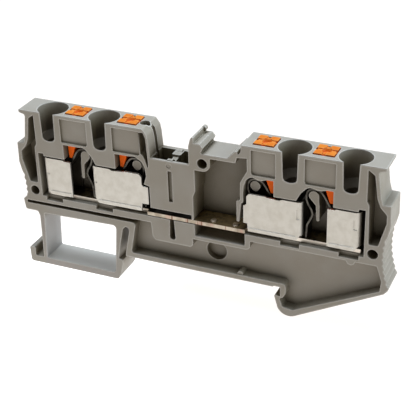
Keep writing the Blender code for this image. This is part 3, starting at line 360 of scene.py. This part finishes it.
def orange_plastic():
    """Orange moulded plastic: painted shade in its recesses, deeper in its blades, and painted
    highlights on its rims.
    """
    look = Look("moulded_orange", "orange_polyamide")
    near = look.crevice(1.6)
    tone = look.mix(look.above(look.noise(1.6), *NOISE_HALVES), ORANGE, ORANGE_PALE)
    # Painted highlight on the rims.
    rim_highlight = look.both(look.edge_mask(0.3), look.above(near, 0.5, 0.9, share=0.5))
    tone = look.mix(rim_highlight, tone, ORANGE_RIM_HIGHLIGHT)
    # Painted shade in the recesses.
    tone = look.mix(look.above(near, 0.05, 0.85), ORANGE_RECESS_SHADE, tone)
    tone = look.mix(look.above(look.axis("Z"), *BLADE_FADE), ORANGE_BLADE, tone)
    roughness = look.spread(look.noise(1.0), *NOISE_SPAN, 0.40, 0.54)
    normal = look.bump(look.noise(0.14), 0.01, look.rounded(0.12))
    return look.surface(
        base_color=tone, roughness=roughness, normal=normal, specular_ior_level=0.16
    )


def tinned_sheet():
    """Dull tin plating on folded sheet: faint blotches and rolling lines, and painted highlights on
    its edges.

    Painted shade darkens its gaps and the walls behind the front one.
    """
    look = Look("tin_plated_sheet", "tinned_sheet")
    blotch = look.above(look.noise(1.5, detail=4.0, roughness=0.6), 0.34, 0.68)
    tone = look.mix(blotch, TIN, TIN_DULL)
    tone = look.mix(look.above(look.noise(4.5), 0.56, 0.78, share=0.12), tone, TIN_STAIN)
    # Painted highlight on the edges.
    tone = look.mix(look.both(look.edge_mask(0.12), 0.7), tone, TIN_EDGE_HIGHLIGHT)
    # Painted shade in the gaps and corners, and on the walls behind the front one.
    tone = look.mix(look.above(look.crevice(2.0), 0.02, 0.42), PAINTED_SHADE, tone)
    tone = look.mix(look.above(look.axis("Y"), *CAGE_FRONT_FADE, share=0.93), tone, PAINTED_SHADE)
    lines = look.noise(0.12, detail=4.0, roughness=0.6, scale=(1.0, 1.0, 0.06))
    roughness = look.spread(blotch, 0.0, 1.0, 0.44, 0.52)
    roughness = look.math("ADD", roughness, look.both(lines, 0.08))
    normal = look.bump(lines, 0.004, look.rounded(0.1))
    normal = look.bump(look.noise(2.4, detail=2.0), 0.009, normal)
    return look.surface(base_color=tone, roughness=roughness, metallic=1.0, normal=normal)


def tinned_copper():
    """A tinned copper bar: cream where it was sheared, with copper patches and burnt lines.

    Its top is stained, with painted shade where the housing covers it and in the cells.
    """
    look = Look("tinned_copper_bar", "tinned_copper")
    x = look.axis("X")
    from_middle = look.size_of(x)
    blotch = look.above(look.noise(1.8, detail=4.0, roughness=0.6), 0.40, 0.65)
    tone = look.mix(blotch, CREAM, CREAM_DULL)

    sheared = look.above(look.size_of(look.facing("Y")), 0.7, 0.95)
    patch = look.noise(1.3, roughness=0.7, scale=(1.0, 1.0, 0.25))
    patch = look.above(patch, 0.52, 0.62, share=0.8)
    tone = look.mix(look.both(sheared, patch), tone, COPPER)
    tick = look.noise(0.5, detail=1.0, scale=(1.0, 0.02, 0.02))
    tick = look.above(tick, 0.66, 0.70, share=0.8)
    tone = look.mix(look.both(sheared, tick), tone, BURNT)

    # Painted shade on the top in the cells and where the housing covers it.
    in_cells = look.above(from_middle, *BAR_CELLS_FADE)
    top = look.mix(blotch, BAR_STAIN, BAR_DARK)
    top = look.mix(in_cells, top, look.mix(blotch, BAR_DARK, BAR_SHADE))
    top = look.mix(look.band(x, *BAR_COVERED_BAND), top, BAR_SHADE)
    tone = look.mix(look.above(look.facing("Z"), 0.9, 0.98, share=0.85), tone, top)

    tone = look.mix(look.both(look.edge_mask(0.10), 0.7), tone, BURNT)
    # Painted shade in the corners.
    tone = look.mix(look.above(look.crevice(2.0), 0.0, 0.35), PAINTED_SHADE, tone)
    ends = look.above(from_middle, *BAR_ENDS_FADE, share=0.75)
    tone = look.mix(look.both(sheared, ends), tone, BRIGHT)
    # Painted highlight on the dimples' domed tops.
    tone = look.mix(look.above(look.axis("Z"), *DOME_FADE), tone, DOME_HIGHLIGHT)

    roughness = look.spread(blotch, 0.0, 1.0, 0.34, 0.46)
    grain = look.noise(0.15, roughness=0.6, scale=(0.08, 1.0, 1.0))
    normal = look.bump(grain, 0.006, look.rounded(0.08))
    return look.surface(base_color=tone, roughness=roughness, metallic=1.0, normal=normal)


def spring_strip():
    """Dark rolled spring strip with long faint lines, and painted shade in its corners."""
    look = Look("rolled_spring_steel", "spring_steel")
    blotch = look.above(look.noise(1.2, detail=4.0), *NOISE_HALVES)
    tone = look.mix(blotch, STEEL, STEEL_LIGHT)
    # Painted shade in the corners and gaps.
    tone = look.mix(look.above(look.crevice(3.0), 0.05, 0.75), PAINTED_SHADE, tone)
    lines = look.noise(0.1, roughness=0.6, scale=(1.0, 0.08, 1.0))
    roughness = look.math("ADD", 0.30, look.both(lines, 0.12))
    normal = look.bump(lines, 0.004, look.rounded(0.08))
    return look.surface(base_color=tone, roughness=roughness, metallic=1.0, normal=normal)


def rows_of(items, name, width, kind):
    """One property of all the items of a mesh, as the rows of an array."""
    values = np.zeros(len(items) * width, kind)
    items.foreach_get(name, values)
    return values.reshape(-1, width)


def flat_faces(corners, normals):
    """Numbers the faces, with one number for neighbours that lie in one plane."""
    group = list(range(len(normals)))

    def root(face):
        while group[face] != face:
            group[face] = group[group[face]]
            face = group[face]
        return face

    seen = {}
    for face, corner in enumerate(corners):
        for step in range(3):
            edge = tuple(sorted((corner[step], corner[step - 1])))
            other = seen.setdefault(edge, face)
            if other != face and normals[face] @ normals[other] > FLAT_COSINE:
                group[root(face)] = root(other)
    return np.array([root(face) for face in range(len(normals))])


def soften(obj, angle):
    """Gives a mesh of triangles even normals.

    Curved faces blend, and flat faces and edges sharper than the angle stay crisp.
    """
    mesh = obj.data
    places = rows_of(mesh.vertices, "co", 3, np.float32)
    grid = np.round(places * GRID_STEPS_PER_METRE).astype(np.int64)
    _, same = np.unique(grid, axis=0, return_inverse=True)
    corners = rows_of(mesh.loops, "vertex_index", 1, np.int64).reshape(-1)
    corners = same.reshape(-1)[corners].reshape(-1, 3)
    normals = rows_of(mesh.polygons, "normal", 3, np.float32).astype(float)
    areas = rows_of(mesh.polygons, "area", 1, np.float32).reshape(-1)
    groups = flat_faces(corners, normals)
    sizes = np.bincount(groups, weights=areas, minlength=len(normals))

    around = {}
    for face, corner in enumerate(corners):
        for point in corner:
            around.setdefault(point, set()).add(groups[face])
    limit = math.cos(math.radians(angle))
    made = []
    for face, corner in enumerate(corners):
        for point in corner:
            members = np.array(sorted(around[point]))
            near = members[normals[members] @ normals[face] > limit]
            total = (normals[near] * np.sqrt(sizes[near])[:, None]).sum(axis=0)
            length = np.linalg.norm(total)
            made.append(tuple(total / length if length > NO_LENGTH else normals[face]))
    mesh.shade_smooth()
    mesh.normals_split_custom_set(made)


def floor_look():
    """A white table that glows, faintly mottled, with a painted pool of light near the block's
    foot, where it glows brighter.
    """
    look = Look("studio_floor", "floor")
    tone = look.mix(look.above(look.noise(60.0, detail=2.0), 0.4, 0.6), *FLOOR_TONES)
    away = look.node("ShaderNodeVectorMath", operation="DISTANCE")
    look.link(look.place, away.inputs[0])
    away.inputs[1].default_value = Vector(POOL_PLACE) * MM
    # Painted pool of light: the table glows brighter near the block's foot.
    pool_mask = look.below(away.outputs["Value"], POOL_CORE * MM, POOL_REACH * MM)
    glow = look.mix(pool_mask, FLOOR_GLOW, POOL_GLOW)
    return look.surface(
        base_color=tone,
        roughness=0.9,
        specular_ior_level=0.0,
        emission_color=glow,
        emission_strength=1.0,
    )


def make_floor():
    half = FLOOR_SIZE / 2 * MM
    mesh = bpy.data.meshes.new("floor")
    corners = [(-half, -half), (half, -half), (half, half), (-half, half)]
    mesh.from_pydata([(x, y, 0.0) for x, y in corners], [], [(0, 1, 2, 3)])
    floor = bpy.data.objects.new("floor", mesh)
    floor.location.z = FLOOR_Z * MM
    bpy.context.scene.collection.objects.link(floor)
    mesh.materials.append(floor_look())


def area_light(name, place, target, size, power, colour):
    """A rectangular area light at a place, turned to a target. Lengths are in millimetres."""
    light = bpy.data.lights.new(name, "AREA")
    light.shape = "RECTANGLE"
    light.size = size[0] * MM
    light.size_y = size[1] * MM
    light.energy = power
    light.color = colour
    obj = bpy.data.objects.new(name, light)
    obj.location = Vector(place) * MM
    aim = Vector(target) - Vector(place)
    obj.rotation_euler = aim.to_track_quat("-Z", "Y").to_euler()
    bpy.context.scene.collection.objects.link(obj)


def make_lights():
    world = bpy.data.worlds.new("studio")
    bpy.context.scene.world = world
    world.use_nodes = True
    background = world.node_tree.nodes["Background"]
    background.inputs["Color"].default_value = with_alpha(WORLD_GLOW)
    background.inputs["Strength"].default_value = WORLD_STRENGTH
    area_light(
        "overhead",
        place=(-60, 60, 420),
        target=(0, 0, 10),
        size=(420, 320),
        power=2.95,
        colour=(0.80, 0.885, 1.0),
    )
    area_light(
        "right_side",
        place=(420, 20, 190),
        target=(20, 0, 10),
        size=(240, 240),
        power=1.25,
        colour=(0.80, 0.92, 1.0),
    )


def make_camera():
    azimuth = math.radians(CAMERA_AZIMUTH)
    elevation = math.radians(CAMERA_ELEVATION)
    roll = math.radians(CAMERA_ROLL)
    forward = Vector(
        (
            -math.sin(azimuth) * math.cos(elevation),
            math.cos(azimuth) * math.cos(elevation),
            -math.sin(elevation),
        )
    )
    level = forward.cross(Vector((0.0, 0.0, 1.0))).normalized()
    plumb = forward.cross(level)
    right = level * math.cos(roll) + plumb * math.sin(roll)
    down = plumb * math.cos(roll) - level * math.sin(roll)
    turn = Matrix((right, -down, -forward)).transposed().to_4x4()
    camera = bpy.data.cameras.new("camera")
    camera.lens = CAMERA_LENS
    camera.sensor_width = CAMERA_SENSOR
    camera.clip_start, camera.clip_end = CAMERA_CLIP
    obj = bpy.data.objects.new("camera", camera)
    obj.matrix_world = Matrix.Translation(Vector(CAMERA_PLACE) * MM) @ turn
    bpy.context.scene.collection.objects.link(obj)
    bpy.context.scene.camera = obj


def bend_springs(nodes):
    """Stands a copy in for each spring.

    The copy keeps the spring's shape and place, and the spring itself is hidden.
    """
    for side, way in (("left", -1), ("right", 1)):
        for place, peg_x in (("outer", OUTER_PEG_X), ("inner", INNER_PEG_X)):
            name = f"{place}_{side}_spring"
            clip = bpy.data.objects.new(f"{place}_{side}_hairpin", nodes[name].data.copy())
            bpy.context.scene.collection.objects.link(clip)
            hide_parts(name)
            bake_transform(clip)


def dress(nodes):
    """Gives each node the material and the normals of its kind, the last word of its name."""
    looks = {
        "housing": polyamide(),
        "bar": tinned_copper(),
        "cage": tinned_sheet(),
        "spring": spring_strip(),
        "button": orange_plastic(),
    }
    for name, obj in nodes.items():
        kind = name.split("_")[-1]
        obj.data.materials.clear()
        obj.data.materials.append(looks[kind])
        soften(obj, SPRING_SMOOTH_ANGLE if kind == "spring" else SMOOTH_ANGLE)


for old in list(bpy.data.objects):
    bpy.data.objects.remove(old, do_unlink=True)
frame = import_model()
dress(frame["nodes"])
bend_springs(frame["nodes"])
make_floor()
make_lights()
make_camera()
bpy.context.scene.view_settings.view_transform = "Standard"
